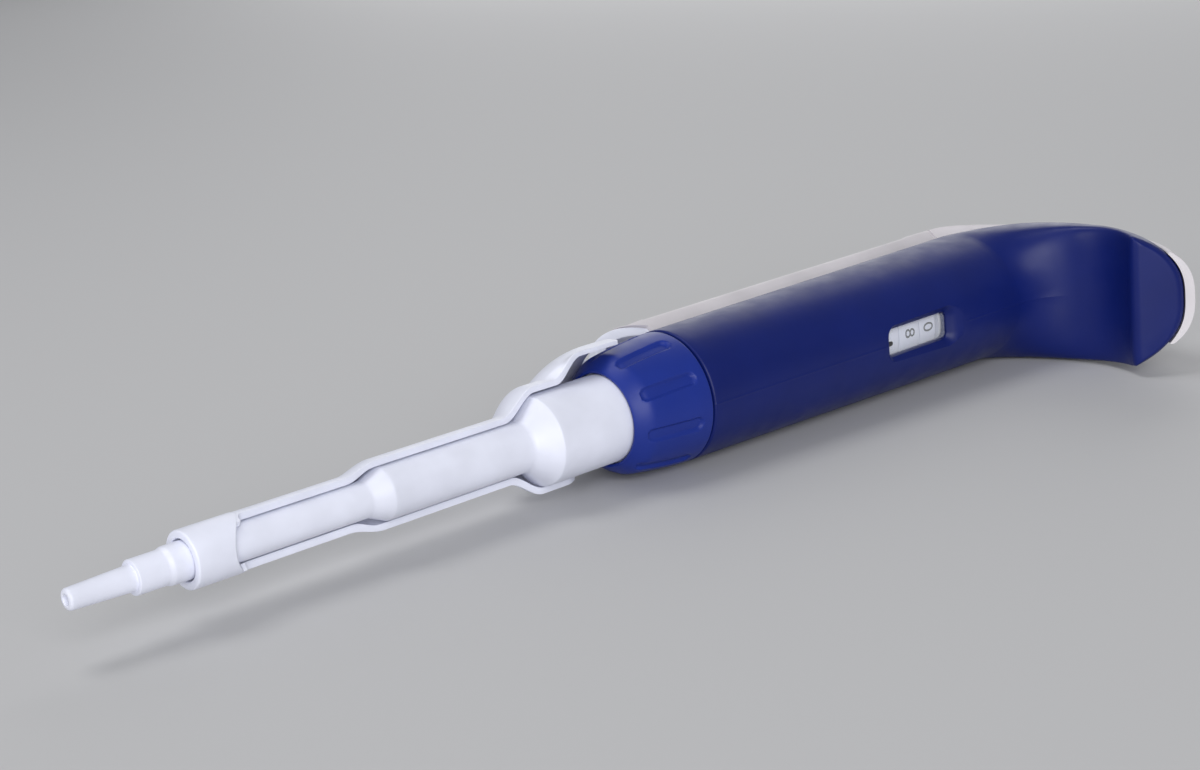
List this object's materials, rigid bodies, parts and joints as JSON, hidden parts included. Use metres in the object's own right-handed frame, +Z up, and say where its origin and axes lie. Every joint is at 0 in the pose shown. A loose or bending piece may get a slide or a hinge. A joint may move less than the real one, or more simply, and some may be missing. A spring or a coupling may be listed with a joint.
{
  "type": "micropipette",
  "caption": "Single-channel manual micropipette with finger hook, counter window, slotted coupling nut and tip ejector, lying on its side.",
  "frame": {"origin": "middle of the bounding box, on the bench plane", "axes": "+X along the pipette from nozzle to thumb button, +Z up from the bench; the finger hook points to -Y"},
  "size_m": [0.2582, 0.0654, 0.0298],
  "materials": {
    "blue_plastic": "satin, fine grain",
    "white_plastic": "satin",
    "grey_plastic": "satin",
    "cream_plastic": "satin",
    "steel": "turned",
    "clear_pane": "clear",
    "black_rubber": "matte"
  },
  "bodies": {
    "handle": {"handle": "blue_plastic", "top_cover": "grey_plastic", "back_cover": "grey_plastic", "window_lens": "clear_pane", "counter_frame": "white_plastic", "handle_base": "white_plastic", "stop_guide": "white_plastic", "screw_bush": "cream_plastic", "shaft": "white_plastic", "seal_retainer": "steel", "piston_seal": "white_plastic", "o_ring": "black_rubber", "piston_spring": "steel", "blow_out_spring": "steel", "ejector_spring": "steel"},
    "knob": {"volume_knob": "white_plastic", "volume_screw": "steel", "fine_ring": "white_plastic"},
    "units": {"units_ring": "white_plastic"},
    "tens": {"tens_ring": "white_plastic"},
    "stop": {"stop_nut": "cream_plastic"},
    "plunger": {"plunger_button": "white_plastic", "button_cap": "cream_plastic", "plunger_rod": "steel", "stop_collar": "steel", "piston_head": "white_plastic", "piston": "steel"},
    "ejector": {"ejector_button": "grey_plastic", "ejector_bar": "steel", "ejector_arm": "white_plastic"},
    "coupling_nut": {"shaft_coupling_nut": "blue_plastic"}
  },
  "joints": [
    {"name": "volume_spin", "type": "hinge", "parent": "handle", "child": "knob", "pos_m": [0.04423, 0.01189, 0.01318], "axis": [0.9999, 0, 0.0123], "range_deg": [-2160, 4320]},
    {"name": "units_spin", "type": "hinge", "parent": "handle", "child": "units", "pos_m": [0.04423, 0.01189, 0.01318], "axis": [0.9999, 0, 0.0123], "range_deg": [-216.5, 432.5]},
    {"name": "tens_spin", "type": "hinge", "parent": "handle", "child": "tens", "pos_m": [0.04423, 0.01189, 0.01318], "axis": [0.9999, 0, 0.0123], "range_deg": [-21.8, 43.4]},
    {"name": "stop_slide", "type": "slide", "parent": "handle", "child": "stop", "axis": [0.9999, 0, 0.0123], "range_m": [-0.00392, 0.00782], "deforming": ["piston_spring"]},
    {"name": "plunger_press", "type": "slide", "parent": "stop", "child": "plunger", "axis": [0.9999, 0, 0.0123], "range_m": [-0.0082, 0], "stiffness_N_per_m": 300, "springref_m": 0.004, "deforming": ["piston_spring", "blow_out_spring"]},
    {"name": "eject_press", "type": "slide", "parent": "handle", "child": "ejector", "axis": [-0.9999, 0, -0.0123], "range_m": [0, 0.007], "stiffness_N_per_m": 300, "springref_m": -0.004, "deforming": ["ejector_spring"]},
    {"name": "coupling_nut_turn", "type": "hinge", "parent": "handle", "child": "coupling_nut", "pos_m": [-0.02177, 0.01189, 0.01237], "axis": [0.9999, 0, 0.0123], "range_deg": [0, 360]}
  ],
  "couplings": [
    {"joint": "units_spin", "follows": "volume_spin", "ratio": 0.1},
    {"joint": "tens_spin", "follows": "volume_spin", "ratio": 0.01},
    {"joint": "stop_slide", "follows": "volume_spin", "m_per_rad": 0.00010345}
  ]
}
